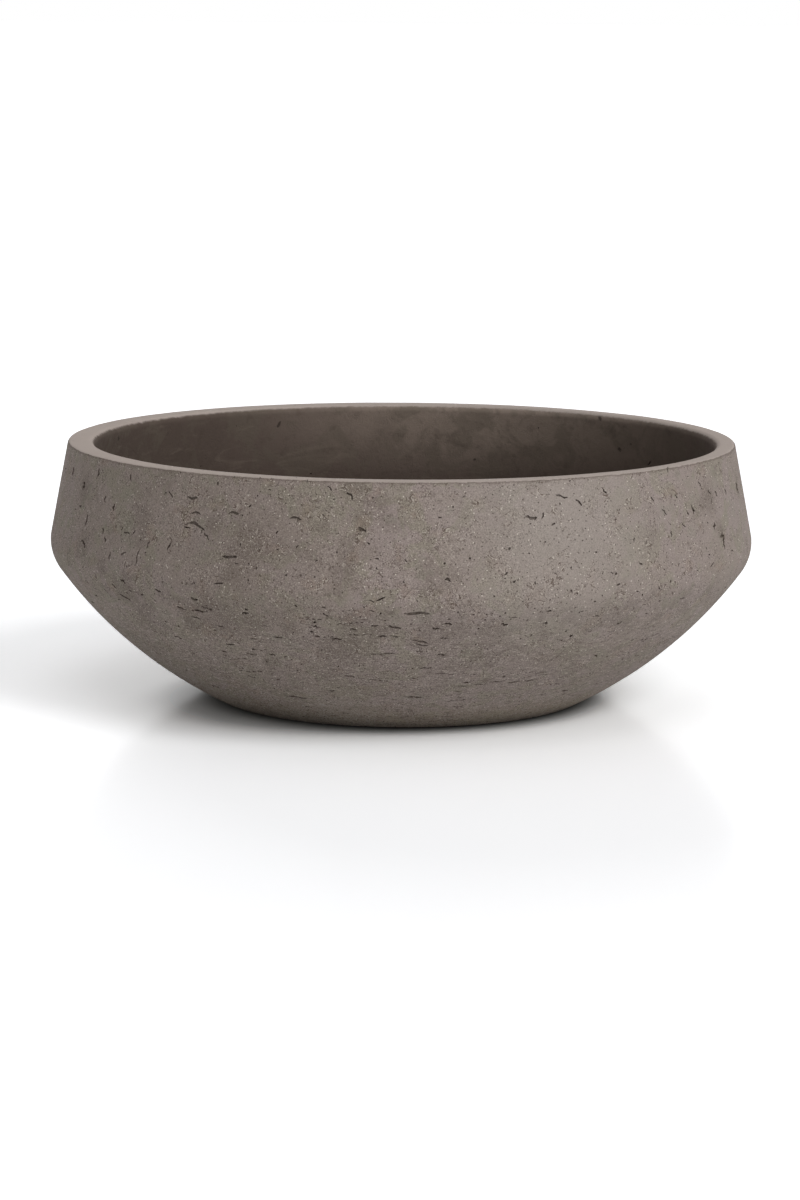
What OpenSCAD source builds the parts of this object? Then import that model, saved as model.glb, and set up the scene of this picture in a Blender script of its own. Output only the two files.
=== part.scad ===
// Fiberclay planter: a low round bowl, cast in one piece, with a rubber bung in its drain hole.
// The origin is on the ground, on the bowl's axis, and +Z is up. All lengths are in millimetres.

/* [Bowl] */
// Greatest width, across the shoulder
bowl_width = 500; // [460:5:560]
// Height, from the ground to the top of the rim
bowl_height = 183.5; // [160:0.5:220]
// Width of the rim, where the canted wall reaches the top
rim_width = 474; // [440:2:490]
// Height of the widest line, at the middle of the shoulder
shoulder_height = 113; // [95:1:125]
// Radius of the shoulder, outside
shoulder_radius = 30; // [20:1:45]
// Radius of the shoulder, inside
shoulder_inside_radius = 20; // [12:1:35]
// Width of the foot, where the rounded underside meets the ground
foot_width = 264; // [220:2:300]

/* [Wall and floor] */
// Thickness of the wall
wall = 17.5; // [12:0.5:24]
// Thickness of the floor, over the hollow of the foot
floor_thickness = 19; // [14:0.5:30]
// Radius of the corner between the floor and the wall, inside
floor_corner_radius = 25; // [10:1:50]
// Radius of the rim's outer edge
rim_outer_radius = 2.5; // [1:0.5:6]
// Radius of the rim's inner edge
rim_inner_radius = 5; // [2:0.5:8]

/* [Foot] */
// Radius of the foot's edge
foot_edge_radius = 5; // [2:0.5:10]
// Width of the ring that stands on the ground
foot_ring_width = 26; // [14:1:40]
// Depth of the hollow inside that ring
foot_hollow_depth = 3; // [1.5:0.5:6]
// How far the hollow's side slopes inwards
foot_hollow_slope = 3; // [1:0.5:6]

/* [Drain hole] */
// Width of the drain hole
drain_width = 26; // [18:1:40]
// Bevel on both ends of the drain hole
drain_bevel = 1; // [0.5:0.1:2]
// Depth of the bung's seat below the floor
seat_depth = 5; // [4:0.5:7]
// How far the seat's side slopes outwards
seat_slope = 2; // [0.5:0.5:5]
// Room for a fingertip between the bung's head and the seat's side
finger_gap = 5; // [3:0.5:10]

/* [Bung] */
// How far the head reaches past the drain hole, all round
head_lip = 7; // [4:0.5:12]
// Height of the head, at its middle
head_height = 4.5; // [3:0.5:6]
// Rise of the head's domed top
head_dome = 0.8; // [0.4:0.1:1.5]
// Radius of the head's top edge
head_edge_radius = 1.2; // [0.5:0.1:1.5]
// Clearance between the sealing ribs and the drain hole, all round
rib_clearance = 0.1; // [0.05:0.01:0.1]
// How far the ribs stand out from the tail
rib_height = 0.6; // [0.3:0.1:1]
// Radius of a rib's round back
rib_radius = 1.2; // [1:0.1:1.5]
// Number of sealing ribs
rib_count = 3; // [1:1:4]
// How far the tail stops short of the drain hole's lower end
tail_gap = 1; // [0.5:0.5:2]
// Bevel that leads the tail into the hole
tail_bevel = 1.5; // [0.5:0.5:2.5]
// Thickness of rubber around the hollow in the tail
tail_wall = 5; // [3:0.5:6]
// Thickness of rubber between that hollow and the top of the head
core_roof = 6; // [5:0.5:8]

/* [Hidden] */
$fn = 360;

// Cuts run this far past the faces that they open
over = 10;
// A rounding's circle stands this little proud of its tangent lines, so that it crosses them cleanly
blend = 0.002;

// Direction from one point to another
function heading(start, end) = atan2(end.y - start.y, end.x - start.x);
// Point at a distance from another, in a direction
function polar(start, length, angle) = start + length * [cos(angle), sin(angle)];
// Root of a*x^2 + b*x + c, with side = 1 for the greater and -1 for the lesser
function root(a, b, c, side) = (-b + side * sqrt(b * b - 4 * a * c)) / (2 * a);

// The section is drawn with x as the distance from the axis and y as the height.
// The outside of the shoulder is an arc about this centre.
shoulder = [bowl_width / 2 - shoulder_radius, shoulder_height];
// The canted wall runs from the rim's width to that arc, which it touches, and leans in by this angle.
rim_from_shoulder = [rim_width / 2, bowl_height] - shoulder;
cant = atan2(rim_from_shoulder.y, rim_from_shoulder.x) - acos(shoulder_radius / norm(rim_from_shoulder));
// Distance from the axis of a line along the canted wall, a depth inside its outer face, at a height
function canted(height, depth) =
    shoulder.x + (shoulder_radius - depth - sin(cant) * (height - shoulder.y)) / cos(cant);

// The underside is part of a ball on the axis, which passes through the foot's edge and holds the shoulder's
// arc inside it, touching. The two conditions make its radius ball_base + ball_slope * (height of its centre).
ball_slope = shoulder.y / shoulder_radius;
ball_base = (pow(foot_width / 2, 2) + pow(shoulder_radius, 2) - shoulder * shoulder) / (2 * shoulder_radius);
ball_height = root(
    pow(ball_slope, 2) - 1,
    2 * ball_base * ball_slope,
    pow(ball_base, 2) - pow(foot_width / 2, 2),
    1
);
ball = [0, ball_height];
ball_radius = ball_base + ball_slope * ball_height;
// Distance from the axis of a rounding's centre at a height, where the rounding touches the ball from inside
function inside_ball(height, radius) = sqrt(pow(radius, 2) - pow(ball_height - height, 2));

// Heights of the floor and of the bung's seat
floor_level = foot_hollow_depth + floor_thickness;
seat_level = floor_level - seat_depth;

// Centres of the roundings
foot_edge = [inside_ball(foot_edge_radius, ball_radius - foot_edge_radius), foot_edge_radius];
rim_outer_level = bowl_height - rim_outer_radius;
rim_outer = [canted(rim_outer_level, rim_outer_radius), rim_outer_level];
rim_inner_level = bowl_height - rim_inner_radius;
rim_inner = [canted(rim_inner_level, wall - rim_inner_radius), rim_inner_level];
corner_level = floor_level + floor_corner_radius;
floor_corner = [inside_ball(corner_level, ball_radius - wall - floor_corner_radius), corner_level];
// The inside of the shoulder touches the wall's inner face and the inner ball, so its centre is where a line
// at this depth in the canted wall crosses a circle of this reach about the ball's centre.
inner_depth = wall + shoulder_inside_radius;
inner_reach = ball_radius - inner_depth;
inner_height = root(
    pow(tan(cant), 2) + 1,
    -2 * (canted(0, inner_depth) * tan(cant) + ball_height),
    pow(canted(0, inner_depth), 2) + pow(ball_height, 2) - pow(inner_reach, 2),
    -1
);
inner_shoulder = [canted(inner_height, inner_depth), inner_height];

// Half widths of the drain hole, of the bung's head and of its seat, and of the foot's hollow
drain_radius = drain_width / 2;
head_radius = drain_radius + head_lip;
seat_radius = head_radius + finger_gap;
hollow_radius = foot_edge.x - foot_ring_width;

// The bung's top is a low dome on the axis, and its rounded edge touches the dome and the head's side.
head_top = seat_level + head_height;
dome_radius = (pow(head_radius, 2) + pow(head_dome, 2)) / (2 * head_dome);
dome = [0, head_top - dome_radius];
head_edge_x = head_radius - head_edge_radius;
head_edge = [head_edge_x, dome.y + sqrt(pow(dome_radius - head_edge_radius, 2) - pow(head_edge_x, 2))];

// The bung's tail, inside the drain hole
tail_radius = drain_radius - rib_clearance - rib_height;
tail_end = foot_hollow_depth + tail_gap;
tail_length = seat_level - tail_end;
core_radius = tail_radius - tail_wall;
core_level = head_top - core_roof - core_radius;

// What a rounding takes off a corner: a wedge between two directions from its centre, outside its circle
module corner_waste(centre, radius, from, to) {
    reach = 3 * radius;
    middle = (from + to) / 2;
    difference() {
        polygon([
            centre,
            polar(centre, reach, from),
            polar(centre, reach / cos(middle - from), middle),
            polar(centre, reach, to)
        ]);
        translate(centre)
            circle(radius + blend);
    }
}

// Half section of the bowl as if it were solid
module bowl_outside() {
    difference() {
        intersection() {
            translate(ball)
                circle(ball_radius);
            polygon([
                [0, 0],
                [canted(0, 0), 0],
                [canted(bowl_height, 0), bowl_height],
                [0, bowl_height]
            ]);
        }
        corner_waste(foot_edge, foot_edge_radius, -90, heading(ball, foot_edge));
        corner_waste(shoulder, shoulder_radius, heading(ball, shoulder), cant);
        corner_waste(rim_outer, rim_outer_radius, cant, 90);
    }
}

// Half section of the space inside the bowl
module bowl_inside() {
    mouth = bowl_height + over;
    difference() {
        intersection() {
            translate(ball)
                circle(ball_radius - wall);
            polygon([
                [0, floor_level],
                [canted(floor_level, wall), floor_level],
                [canted(mouth, wall), mouth],
                [0, mouth]
            ]);
        }
        corner_waste(floor_corner, floor_corner_radius, -90, heading(ball, floor_corner));
        corner_waste(inner_shoulder, shoulder_inside_radius, heading(ball, inner_shoulder), cant);
    }
}

// Half section of the hollow that leaves a ring to stand on
module foot_hollow() {
    polygon([
        [0, -over],
        [hollow_radius, -over],
        [hollow_radius, 0],
        [hollow_radius - foot_hollow_slope, foot_hollow_depth],
        [0, foot_hollow_depth]
    ]);
}

// Half section of the drain hole, bevelled at both ends, and of the dished seat above it
module drain() {
    polygon([
        [0, 0],
        [drain_radius + drain_bevel, 0],
        [drain_radius + drain_bevel, foot_hollow_depth],
        [drain_radius, foot_hollow_depth + drain_bevel],
        [drain_radius, seat_level - drain_bevel],
        [drain_radius + drain_bevel, seat_level],
        [seat_radius, seat_level],
        [seat_radius + seat_slope, floor_level],
        [seat_radius + seat_slope, floor_level + over],
        [0, floor_level + over]
    ]);
}

// The one-piece casting
module bowl() {
    color("#7f766c")
        rotate_extrude(convexity = 6)
            difference() {
                bowl_outside();
                bowl_inside();
                corner_waste(rim_inner, rim_inner_radius, 90, 180 + cant);
                foot_hollow();
                drain();
            }
}

// Half section of the bung's head
module plug_head() {
    difference() {
        intersection() {
            translate([0, seat_level])
                square([head_radius, head_height]);
            translate(dome)
                circle(dome_radius);
        }
        corner_waste(head_edge, head_edge_radius, 0, heading(dome, head_edge));
    }
}

// Half section of the bung's tail, with its ribs evenly spaced down the hole
module plug_tail() {
    polygon([
        [0, tail_end],
        [tail_radius - tail_bevel, tail_end],
        [tail_radius, tail_end + tail_bevel],
        [tail_radius, seat_level],
        [0, seat_level]
    ]);
    for (rib = [1 : rib_count])
        translate([tail_radius + rib_height - rib_radius, seat_level - tail_length * rib / (rib_count + 1)])
            circle(rib_radius);
}

// Half section of the hollow up the middle of the tail, which lets the ribs give
module plug_core() {
    translate([0, tail_end - over])
        square([core_radius, core_level - tail_end + over]);
    intersection() {
        translate([0, core_level])
            circle(core_radius);
        translate([0, core_level])
            square(core_radius);
    }
}

// The moulded rubber bung
module drain_plug() {
    color("#2a2a2b")
        rotate_extrude(convexity = 6)
            difference() {
                union() {
                    plug_head();
                    plug_tail();
                }
                plug_core();
            }
}

bowl();
drain_plug();
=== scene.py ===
# %% [markdown]
# # A cast fiberclay planter
# This lesson dresses a low round planter bowl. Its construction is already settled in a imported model, the
# frame, which gives every piece its place and size. Here each piece gets the surface that the real one has.
# The bowl is hand laid in a mould from clay, cement and short glass fibre, so its looks are in what the
# casting leaves behind: a wall that swells a little, trapped air that opens as slits and pinholes, sandy
# grit and clouds of lighter and darker clay. A rubber bung closes the drain hole in its floor.

# %% Load the frame
import math

import bpy
import numpy as np
from mathutils import Matrix, Vector


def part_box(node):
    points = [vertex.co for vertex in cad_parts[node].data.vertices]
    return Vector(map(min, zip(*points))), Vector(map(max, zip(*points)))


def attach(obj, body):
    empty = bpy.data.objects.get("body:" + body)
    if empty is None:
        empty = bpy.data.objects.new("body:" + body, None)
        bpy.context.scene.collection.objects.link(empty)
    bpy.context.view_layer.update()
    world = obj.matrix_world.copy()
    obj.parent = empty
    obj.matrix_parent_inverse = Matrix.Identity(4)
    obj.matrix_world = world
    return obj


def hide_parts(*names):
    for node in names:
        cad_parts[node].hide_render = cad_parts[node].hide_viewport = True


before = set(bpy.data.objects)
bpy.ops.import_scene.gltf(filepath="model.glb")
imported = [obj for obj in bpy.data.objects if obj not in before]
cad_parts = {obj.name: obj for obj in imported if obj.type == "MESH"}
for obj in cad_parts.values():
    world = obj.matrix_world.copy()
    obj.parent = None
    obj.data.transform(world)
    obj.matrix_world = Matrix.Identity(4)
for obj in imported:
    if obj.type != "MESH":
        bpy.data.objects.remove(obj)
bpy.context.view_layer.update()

# %% [markdown]
# ## Units and colours
# Blender works in metres, but a potter thinks in millimetres, so sizes below are in millimetres and are
# turned to metres where a mesh is made. Colours are written as the hex values that a screen shows. Shaders
# work with linear light, so one function turns them.

# %% Millimetres and hex colours
MM = 0.001


def linear(hex_colour):
    """A screen colour such as "#8c8377" as the linear colour, with alpha, that shaders take"""
    parts = [int(hex_colour[i : i + 2], 16) / 255 for i in (1, 3, 5)]
    return [p / 12.92 if p <= 0.04045 else ((p + 0.055) / 1.055) ** 2.4 for p in parts] + [1.0]


# %% [markdown]
# ## One helper for every node
# Shader trees and geometry trees are built the same way: add a node, set its options, then feed its
# sockets. A socket is fed by a plain value, by another socket, or by a node, whose first active output is
# taken.

# %% A helper that adds a node
def add(tree, kind, sockets=(), **options):
    """Adds a node, sets its options, then feeds its sockets, each named by its label or its number"""
    made = tree.nodes.new(kind)
    for option, setting in options.items():
        setattr(made, option, setting)
    for key, value in dict(sockets).items():
        into = made.inputs[key] if isinstance(key, int) else next(
            s for s in made.inputs if s.enabled and s.name == key
        )
        if isinstance(value, bpy.types.Node):
            value = next(s for s in value.outputs if s.enabled)
        if isinstance(value, bpy.types.NodeSocket):
            tree.links.new(value, into)
        else:
            into.default_value = value
    return made


# %% [markdown]
# ## The camera
# The photograph looks along +Y from a little above the rim, through a long lens, so the far rim shows as a
# thin ellipse. The camera stands where a fit of the bowl's outline puts it. It is tipped down, and turned
# by less than half a degree, because the photograph stands slightly askew.

# %% Camera
CAMERA_DISTANCE = 2500 * MM
CAMERA_SIDE = -0.5 * MM
CAMERA_HEIGHT = 482.6 * MM
CAMERA_TIP = math.radians(9.45)
CAMERA_TURN = math.radians(0.34)
LENS = 105.82

camera_data = bpy.data.cameras.new("camera")
camera_data.lens = LENS
camera = bpy.data.objects.new("camera", camera_data)
bpy.context.scene.collection.objects.link(camera)
camera.matrix_world = (
    Matrix.Translation((CAMERA_SIDE, -CAMERA_DISTANCE, CAMERA_HEIGHT))
    @ Matrix.Rotation(math.pi / 2 - CAMERA_TIP, 4, "X")
    @ Matrix.Rotation(CAMERA_TURN, 4, "Z")
)
bpy.context.scene.camera = camera

# %% [markdown]
# ## The bowl's section
# A mould for such a bowl is turned on its axis, so the whole bowl follows from one half section: a straight
# wall that leans in, a rounded shoulder, and an underside that is part of a ball. Each rounding touches its
# neighbours, so its centre is worked out and not guessed. The overall width and height come from the frame.

# %% Sizes of the section, in millimetres
bowl_low, bowl_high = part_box("bowl")
WIDTH = round((bowl_high.x - bowl_low.x) / MM)
HEIGHT = round(bowl_high.z / MM, 1)
RIM_WIDTH = 474
SHOULDER_HEIGHT = 113
SHOULDER_RADIUS = 30
SHOULDER_INSIDE_RADIUS = 20
FOOT_WIDTH = 264
WALL = 17.5
FLOOR_LEVEL = 22
FLOOR_CORNER_RADIUS = 25
RIM_OUTER_RADIUS = 2.5
RIM_INNER_RADIUS = 5
FOOT_EDGE_RADIUS = 5
FOOT_RING = 26
HOLLOW_DEPTH = 3
DRAIN_RADIUS = 13
DRAIN_BEVEL = 1
SEAT_LEVEL = 17
SEAT_RADIUS = 25
SEAT_SLOPE = 2
# Soft edge of the smaller steps, which come out of a mould slightly rounded
STEP_EDGE_RADIUS = 1

# %% Points along lines and arcs
def polar(start, length, angle):
    """The point at a distance from another, in a direction in degrees"""
    turn = math.radians(angle)
    return (start[0] + length * math.cos(turn), start[1] + length * math.sin(turn))


def heading(start, end):
    """The direction from one point to another, in degrees"""
    return math.degrees(math.atan2(end[1] - start[1], end[0] - start[0]))


def arc(centre, radius, first, last, spacing):
    """Points along an arc, no further apart than the spacing, and at least six steps of them"""
    steps = max(6, math.ceil(abs(math.radians(last - first)) * radius / spacing))
    return [polar(centre, radius, first + (last - first) * i / steps) for i in range(steps + 1)]


def line(start, end, spacing):
    """Points between two ends, without the ends themselves"""
    steps = max(1, math.ceil(math.dist(start, end) / spacing))
    return [tuple(a + (b - a) * i / steps for a, b in zip(start, end)) for i in range(1, steps)]


def soft_corner(before, corner, after, radius):
    """A corner between two straight lines, rounded"""
    into, out = heading(corner, before), heading(corner, after)
    turn = (out - into + 180) % 360 - 180
    away = radius / math.tan(math.radians(abs(turn) / 2))
    centre = polar(corner, radius / math.sin(math.radians(abs(turn) / 2)), into + turn / 2)
    first = heading(centre, polar(corner, away, into))
    last = heading(centre, polar(corner, away, out))
    bend = (last - first + 180) % 360 - 180
    return [polar(centre, radius, first + bend * i / 3) for i in range(4)]


# %% Where the roundings have their centres
shoulder = (WIDTH / 2 - SHOULDER_RADIUS, SHOULDER_HEIGHT)
to_rim = (RIM_WIDTH / 2 - shoulder[0], HEIGHT - shoulder[1])
cant = heading((0, 0), to_rim) - math.degrees(math.acos(SHOULDER_RADIUS / math.hypot(*to_rim)))


def canted(height, depth):
    """Distance from the axis of the canted wall, a depth inside its outer face, at a height"""
    rise = math.sin(math.radians(cant)) * (height - shoulder[1])
    return shoulder[0] + (SHOULDER_RADIUS - depth - rise) / math.cos(math.radians(cant))


# The ball of the underside passes through the foot's edge and holds the shoulder's arc inside it, touching.
foot = FOOT_WIDTH / 2
ball_slope = shoulder[1] / SHOULDER_RADIUS
ball_base = (foot**2 + SHOULDER_RADIUS**2 - shoulder[0] ** 2 - shoulder[1] ** 2) / (2 * SHOULDER_RADIUS)
ball_height = max(np.roots([ball_slope**2 - 1, 2 * ball_base * ball_slope, ball_base**2 - foot**2]).real)
ball_radius = ball_base + ball_slope * ball_height
ball = (0, ball_height)


def inside_ball(height, radius):
    """Distance from the axis of a point at a height, on a ball of that radius about the same centre"""
    return math.sqrt(radius**2 - (ball_height - height) ** 2)


foot_edge = (inside_ball(FOOT_EDGE_RADIUS, ball_radius - FOOT_EDGE_RADIUS), FOOT_EDGE_RADIUS)
rim_outer = (canted(HEIGHT - RIM_OUTER_RADIUS, RIM_OUTER_RADIUS), HEIGHT - RIM_OUTER_RADIUS)
rim_inner = (canted(HEIGHT - RIM_INNER_RADIUS, WALL - RIM_INNER_RADIUS), HEIGHT - RIM_INNER_RADIUS)
corner_height = FLOOR_LEVEL + FLOOR_CORNER_RADIUS
floor_corner = (inside_ball(corner_height, ball_radius - WALL - FLOOR_CORNER_RADIUS), corner_height)
inner_depth = WALL + SHOULDER_INSIDE_RADIUS
lean = math.tan(math.radians(cant))
inner_base = canted(0, inner_depth)
inner_height = min(np.roots([
    lean**2 + 1,
    -2 * (inner_base * lean + ball_height),
    inner_base**2 + ball_height**2 - (ball_radius - inner_depth) ** 2,
]).real)
inner_shoulder = (canted(inner_height, inner_depth), inner_height)
print(f"wall leans {cant:.2f} degrees; ball radius {ball_radius:.1f} mm, centre {ball_height:.1f} mm up")

# %% [markdown]
# The section goes once round the wall: out along the underside, up the outside, over the rim, down the
# inside and back through the drain hole. Each point also says which zone of the surface it is on, because
# the outside, the rim and the inside have different pits and colours.

# %% The section as points, with a zone for each
OUTSIDE, RIM, INSIDE, HIDDEN = 0, 1, 2, 3
# Rings of the mesh lie this far apart, closer where the surface swells and wider where it is flat or hidden
FINE, PLAIN, COARSE = 5.5, 9, 22

hollow_radius = foot_edge[0] - FOOT_RING
hollow_corner = (hollow_radius - HOLLOW_DEPTH, HOLLOW_DEPTH)
drain_low = (DRAIN_RADIUS, HOLLOW_DEPTH + DRAIN_BEVEL)
drain_high = (DRAIN_RADIUS, SEAT_LEVEL - DRAIN_BEVEL)
seat_inner = (DRAIN_RADIUS + DRAIN_BEVEL, SEAT_LEVEL)
seat_outer = (SEAT_RADIUS, SEAT_LEVEL)
seat_top = (SEAT_RADIUS + SEAT_SLOPE, FLOOR_LEVEL)
drain_mouth = (DRAIN_RADIUS + DRAIN_BEVEL, HOLLOW_DEPTH)
ring_inner = (hollow_radius, 0)
ring_outer = (foot_edge[0], 0)
floor_edge = (floor_corner[0], FLOOR_LEVEL)

# Directions from the ball's centre to the roundings, and the ends of the straight wall outside and inside
to_foot = heading(ball, foot_edge)
to_shoulder = heading(ball, shoulder)
to_inner = heading(ball, inner_shoulder)
to_corner = heading(ball, floor_corner)
wall_low = polar(shoulder, SHOULDER_RADIUS, cant)
wall_high = polar(rim_outer, RIM_OUTER_RADIUS, cant)
inner_low = polar(inner_shoulder, SHOULDER_INSIDE_RADIUS, cant)
inner_high = polar(rim_inner, RIM_INNER_RADIUS, 180 + cant)
# Halfway round the rim's inner rounding the rubbed rim ends
RIM_END = 135

runs = [
    (HIDDEN, [drain_mouth] + line(drain_mouth, hollow_corner, COARSE)),
    (HIDDEN, soft_corner(drain_mouth, hollow_corner, ring_inner, STEP_EDGE_RADIUS)),
    (HIDDEN, soft_corner(hollow_corner, ring_inner, ring_outer, STEP_EDGE_RADIUS)),
    (HIDDEN, line(ring_inner, ring_outer, PLAIN)),
    (OUTSIDE, arc(foot_edge, FOOT_EDGE_RADIUS, -90, to_foot, FINE)),
    (OUTSIDE, arc(ball, ball_radius, to_foot, to_shoulder, FINE)[1:]),
    (OUTSIDE, arc(shoulder, SHOULDER_RADIUS, to_shoulder, cant, FINE / 2)[1:]),
    (OUTSIDE, line(wall_low, wall_high, FINE)),
    (OUTSIDE, arc(rim_outer, RIM_OUTER_RADIUS, cant, 90, FINE)),
    (RIM, line((rim_outer[0], HEIGHT), (rim_inner[0], HEIGHT), FINE / 2)),
    (RIM, arc(rim_inner, RIM_INNER_RADIUS, 90, RIM_END, FINE)[:-1]),
    (INSIDE, arc(rim_inner, RIM_INNER_RADIUS, RIM_END, 180 + cant, FINE)),
    (INSIDE, line(inner_high, inner_low, FINE)),
    (INSIDE, arc(inner_shoulder, SHOULDER_INSIDE_RADIUS, cant, to_inner, FINE / 2)),
    (INSIDE, arc(ball, ball_radius - WALL, to_inner, to_corner, PLAIN)[1:]),
    (INSIDE, arc(floor_corner, FLOOR_CORNER_RADIUS, to_corner, -90, PLAIN)[1:]),
    (INSIDE, line(floor_edge, seat_top, PLAIN)),
    (INSIDE, soft_corner(floor_edge, seat_top, seat_outer, STEP_EDGE_RADIUS)),
    (INSIDE, soft_corner(seat_top, seat_outer, seat_inner, STEP_EDGE_RADIUS)),
    (INSIDE, line(seat_outer, seat_inner, PLAIN) + [seat_inner, drain_high]),
    (INSIDE, line(drain_high, drain_low, PLAIN) + [drain_low]),
]
section = [point for _, run in runs for point in run]
zones = [zone for zone, run in runs for _ in run]
print(f"{len(section)} points round the section")

# %% [markdown]
# ## Turn the section into a bowl
# A potter would turn this section on a wheel, and the mould maker turned the mould in the same way.
# Spinning a mesh in code would work too, but a node tree keeps the section as it is and leaves the number
# of segments open. The section stands in the XZ plane. The tree lays it down as a profile, sweeps it round
# a circle and closes it on itself, so the bowl has no seam and no pole.

# %% The half section as a loop of edges
section_mesh = bpy.data.meshes.new("bowl")
section_mesh.from_pydata(
    [(across * MM, 0, up * MM) for across, up in section],
    [(i, (i + 1) % len(section)) for i in range(len(section))],
    [],
)
section_mesh.attributes.new("zone", "FLOAT", "POINT").data.foreach_set("value", zones)
bowl = bpy.data.objects.new("planter_bowl", section_mesh)
bpy.context.scene.collection.objects.link(bowl)


# %% Helpers that start and end a geometry tree, and turn its result into a plain mesh
def geometry_tree(name, inputs):
    """A geometry tree with the named inputs; a value sets the kind of socket and is its default"""
    tree = bpy.data.node_groups.new(name, "GeometryNodeTree")
    tree.is_modifier = True
    kinds = {float: "NodeSocketFloat", int: "NodeSocketInt"}
    tree.interface.new_socket("Geometry", in_out="INPUT", socket_type="NodeSocketGeometry")
    for label, value in inputs.items():
        kind = value if isinstance(value, str) else kinds[type(value)]
        socket = tree.interface.new_socket(label, in_out="INPUT", socket_type=kind)
        if not isinstance(value, str):
            socket.default_value = value
    tree.interface.new_socket("Geometry", in_out="OUTPUT", socket_type="NodeSocketGeometry")
    return tree, tree.nodes.new("NodeGroupInput").outputs, tree.nodes.new("NodeGroupOutput").inputs


def end_tree(tree, given, out, geometry):
    """Ends a tree in the way that the export needs: instances made real, and the material set"""
    real = add(tree, "GeometryNodeRealizeInstances", {"Geometry": geometry})
    dressed = add(tree, "GeometryNodeSetMaterial", {"Geometry": real, "Material": given["Material"]})
    tree.links.new(dressed.outputs[0], out["Geometry"])


def grow(piece, tree, **values):
    """Runs a geometry tree on a piece with its inputs set, and keeps the result as the piece's plain mesh"""
    modifier = piece.modifiers.new(tree.name, "NODES")
    modifier.node_group = tree
    for socket in tree.interface.items_tree:
        key = socket.name.replace(" ", "_").lower()
        if socket.in_out == "INPUT" and key in values:
            modifier[socket.identifier] = values[key]
    graph = bpy.context.evaluated_depsgraph_get()
    evaluated = piece.evaluated_get(graph)
    mesh = bpy.data.meshes.new_from_object(evaluated, preserve_all_data_layers=True, depsgraph=graph)
    piece.modifiers.remove(modifier)
    piece.data = mesh
    print(f"{piece.name}: {tree.name} gives {len(mesh.vertices)} points and {len(mesh.polygons)} faces")


# %% The tree that turns a section
SEGMENTS = 216
# The circle of the sweep. The profile is drawn back by as much, so that it turns about the bowl's axis
TURN_RADIUS = 0.1

tree, given, out = geometry_tree("turned casting", {"Segments": SEGMENTS, "Material": "NodeSocketMaterial"})
loop = add(tree, "GeometryNodeMeshToCurve", {"Mesh": given["Geometry"]})
profile = add(tree, "GeometryNodeTransform", {
    "Geometry": loop, "Translation": (-TURN_RADIUS, 0, 0), "Rotation": (math.pi / 2, 0, 0),
})
circle = add(tree, "GeometryNodeCurvePrimitiveCircle", {
    "Resolution": given["Segments"], "Radius": TURN_RADIUS,
})
turned = add(tree, "GeometryNodeCurveToMesh", {"Curve": circle, "Profile Curve": profile})
# The sweep leaves the faces pointing into the clay, so they are turned round
outwards = add(tree, "GeometryNodeFlipFaces", {"Mesh": turned})
end_tree(tree, given, out, outwards)

fiberclay = bpy.data.materials.new("cast fiberclay, sealed matt")
grow(bowl, tree, segments=SEGMENTS, material=fiberclay)

# %% [markdown]
# ## Let the wall swell
# A hand-laid wall is never as true as its drawing: it swells and sinks by a fraction of a millimetre, and
# the inside of the mould sat about two millimetres to one side, so the rim is thicker on the left than on
# the right. Noise along each point's normal gives the first, and a smooth shift of the inner wall gives the
# second. The noise only sinks the wall, so the bowl stays inside its frame, and both fade out at the foot
# and round the drain, where the bowl must stand flat and seat its bung.
#
# Much of this lesson is about how much of something there is at a place. Such a share is a product of
# parts, and most parts rise smoothly from nothing to all, so one helper makes both.

# %% Helpers for shares
def share(tree, *parts):
    """Several shares multiplied; a part (value, low, high) rises smoothly from 0 at low to 1 at high"""
    result = None
    for part in parts:
        if isinstance(part, tuple):
            part = add(tree, "ShaderNodeMapRange", {
                "Value": part[0], "From Min": part[1], "From Max": part[2],
            }, interpolation_type="SMOOTHSTEP")
        if result is not None:
            part = add(tree, "ShaderNodeMath", {0: result, 1: part}, operation="MULTIPLY")
        result = part
    return result


def in_zones(tree, first, last):
    """1 where the surface's zone is one from first to last, and 0 elsewhere"""
    zone = add(tree, "GeometryNodeInputNamedAttribute", {"Name": "zone"}, data_type="FLOAT")
    above = add(tree, "ShaderNodeMath", {0: zone, 1: first - 0.5}, operation="GREATER_THAN")
    below = add(tree, "ShaderNodeMath", {0: zone, 1: last + 0.5}, operation="LESS_THAN")
    return share(tree, above, below)


# %% The tree that swells the wall
SWELL = 0.4
SWELL_SIZE = 48
INSIDE_SHIFT = 2.3
# The swelling sets in between these heights, and these distances from the axis
FOOT_TRUE = (2 * MM, 20 * MM)
DRAIN_TRUE = (60 * MM, 120 * MM)
# The shift sets in between these heights, and these distances from the axis
SHIFT_HEIGHTS = (60 * MM, 150 * MM)
RIM_TRUE = ((RIM_WIDTH / 2 - 1) * MM, (RIM_WIDTH / 2 - 11) * MM)

tree, given, out = geometry_tree("swollen wall", {
    "Swell": SWELL * MM, "Swell Size": SWELL_SIZE * MM, "Inside Shift": INSIDE_SHIFT * MM,
    "Material": "NodeSocketMaterial",
})
place = add(tree, "GeometryNodeInputPosition")
height = add(tree, "ShaderNodeSeparateXYZ", {0: place}).outputs["Z"]
flat = add(tree, "ShaderNodeVectorMath", {0: place, 1: (1, 1, 0)}, operation="MULTIPLY")
radius = add(tree, "ShaderNodeVectorMath", {0: flat}, operation="LENGTH").outputs["Value"]

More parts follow.
